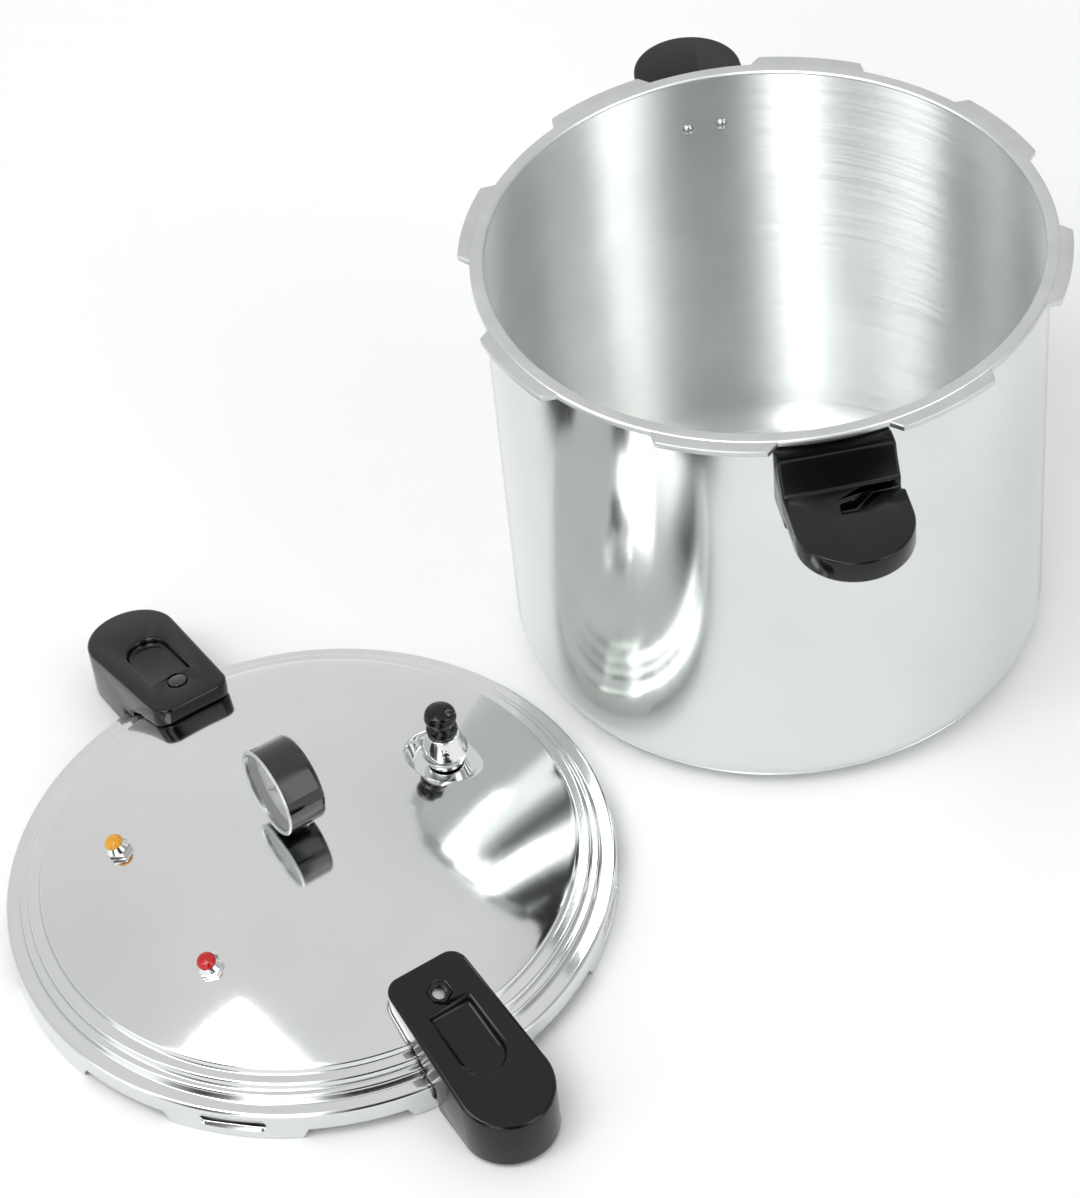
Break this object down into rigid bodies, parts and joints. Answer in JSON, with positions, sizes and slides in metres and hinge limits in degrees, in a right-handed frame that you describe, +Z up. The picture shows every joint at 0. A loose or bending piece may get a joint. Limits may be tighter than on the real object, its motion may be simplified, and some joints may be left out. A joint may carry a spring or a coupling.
{
  "type": "pressure canner",
  "caption": "Tall round aluminium pressure canner, open, with its domed bayonet lid lying beside it, carrying a dial gauge, a rocker weight and relief valves.",
  "frame": {"origin": "middle of the pot's underside", "axes": "+Z up, -Y towards the pot's front handle, the lid lies on the floor towards -X"},
  "size_m": [0.6678, 0.6288, 0.286],
  "materials": {
    "pot_aluminium": "polished outside, brushed inside",
    "lid_aluminium": "mirror polished",
    "black_phenolic": "glossy moulded",
    "screw_steel": "bright zinc plated",
    "insert_brass": "turned",
    "seal_rubber": "matt",
    "chrome_brass": "polished chrome plate",
    "gauge_steel": "satin stainless",
    "black_enamel": "glossy black",
    "dial_enamel": "white, with black numbers",
    "needle_paint": "black",
    "clear_window": "clear",
    "movement_brass": "stamped",
    "knob_plastic": "glossy moulded",
    "amber_plastic": "translucent amber",
    "red_plastic": "red",
    "spring_steel": "drawn wire",
    "lock_steel": "polished stainless",
    "plug_metal": "satin"
  },
  "bodies": {
    "pot": {"pot_body": "pot_aluminium", "pot_handle_front": "black_phenolic", "pot_handle_back": "black_phenolic", "pot_handle_screws": "screw_steel", "pot_handle_inserts": "insert_brass"},
    "seal": {"lid_gasket": "seal_rubber"},
    "lid": {"lid_shell": "lid_aluminium", "lid_handle_front": "black_phenolic", "lid_handle_back": "black_phenolic", "lid_handle_bolts": "screw_steel", "lid_handle_inserts": "insert_brass", "lock_pin_bush": "lock_steel", "catch_bush": "insert_brass", "catch_spring": "spring_steel", "handle_plug": "plug_metal", "gauge_stem": "chrome_brass", "gauge_seal": "seal_rubber", "gauge_nut": "insert_brass", "gauge_case": "black_enamel", "gauge_bezel": "gauge_steel", "gauge_window": "clear_window", "gauge_dial": "dial_enamel", "bourdon_tube": "movement_brass", "gauge_socket": "movement_brass", "gauge_frame": "movement_brass", "vent_pipe": "chrome_brass", "vent_seal": "seal_rubber", "vent_nut": "insert_brass", "amber_valve_housing": "chrome_brass", "amber_valve_spring": "spring_steel", "amber_valve_seal": "seal_rubber", "amber_valve_nut": "insert_brass", "red_valve_housing": "chrome_brass", "red_valve_spring": "spring_steel", "red_valve_seal": "seal_rubber", "red_valve_nut": "insert_brass"},
    "weight": {"weight_body": "chrome_brass", "weight_knob": "knob_plastic"},
    "needle": {"gauge_needle": "needle_paint", "gauge_spindle": "movement_brass"},
    "gear": {"gauge_sector": "movement_brass"},
    "amber_cap": {"amber_valve_cap": "amber_plastic"},
    "red_cap": {"red_valve_cap": "red_plastic"},
    "lock": {"lock_pin": "lock_steel", "lock_pin_seal": "seal_rubber"},
    "catch": {"catch_pin": "lock_steel"}
  },
  "joints": [
    {"name": "lid_lift", "type": "slide", "parent": "pot", "child": "seal", "axis": [0, 0, 1], "range_m": [0, 0.3]},
    {"name": "lid_turn", "type": "hinge", "parent": "seal", "child": "lid", "pos_m": [-0.31828, -0.16498, 0], "axis": [0, 0, 1], "range_deg": [-22.5, 0]},
    {"name": "weight_lift", "type": "slide", "parent": "lid", "child": "weight", "axis": [0, 0, 1], "range_m": [0, 0.03]},
    {"name": "needle_spin", "type": "hinge", "parent": "lid", "child": "needle", "pos_m": [-0.31182, -0.1623, 0.097], "axis": [0.9239, 0.3827, 0], "range_deg": [0, 270], "stiffness_Nm_per_rad": 0.0002},
    {"name": "gear_swing", "type": "hinge", "parent": "lid", "child": "gear", "pos_m": [-0.31182, -0.1623, 0.0843], "axis": [0.9239, 0.3827, 0], "range_deg": [-47, 0]},
    {"name": "amber_cap_lift", "type": "slide", "parent": "lid", "child": "amber_cap", "axis": [-0.2754, 0.0363, 0.9607], "range_m": [0, 0.002], "stiffness_N_per_m": 300, "deforming": ["amber_valve_spring"]},
    {"name": "red_cap_lift", "type": "slide", "parent": "lid", "child": "red_cap", "axis": [-0.1691, -0.2204, 0.9607], "range_m": [0, 0.002], "stiffness_N_per_m": 300, "deforming": ["red_valve_spring"]},
    {"name": "lock_pin_lift", "type": "slide", "parent": "lid", "child": "lock", "axis": [0.1411, -0.3406, 0.9296], "range_m": [0, 0.0035]},
    {"name": "catch_drop", "type": "slide", "parent": "lid", "child": "catch", "axis": [0, 0, 1], "range_m": [-0.016, 0], "stiffness_N_per_m": 40, "springref_m": -0.0165, "deforming": ["catch_spring"]}
  ],
  "couplings": [
    {"joint": "gear_swing", "follows": "needle_spin", "ratio": -0.16981}
  ]
}
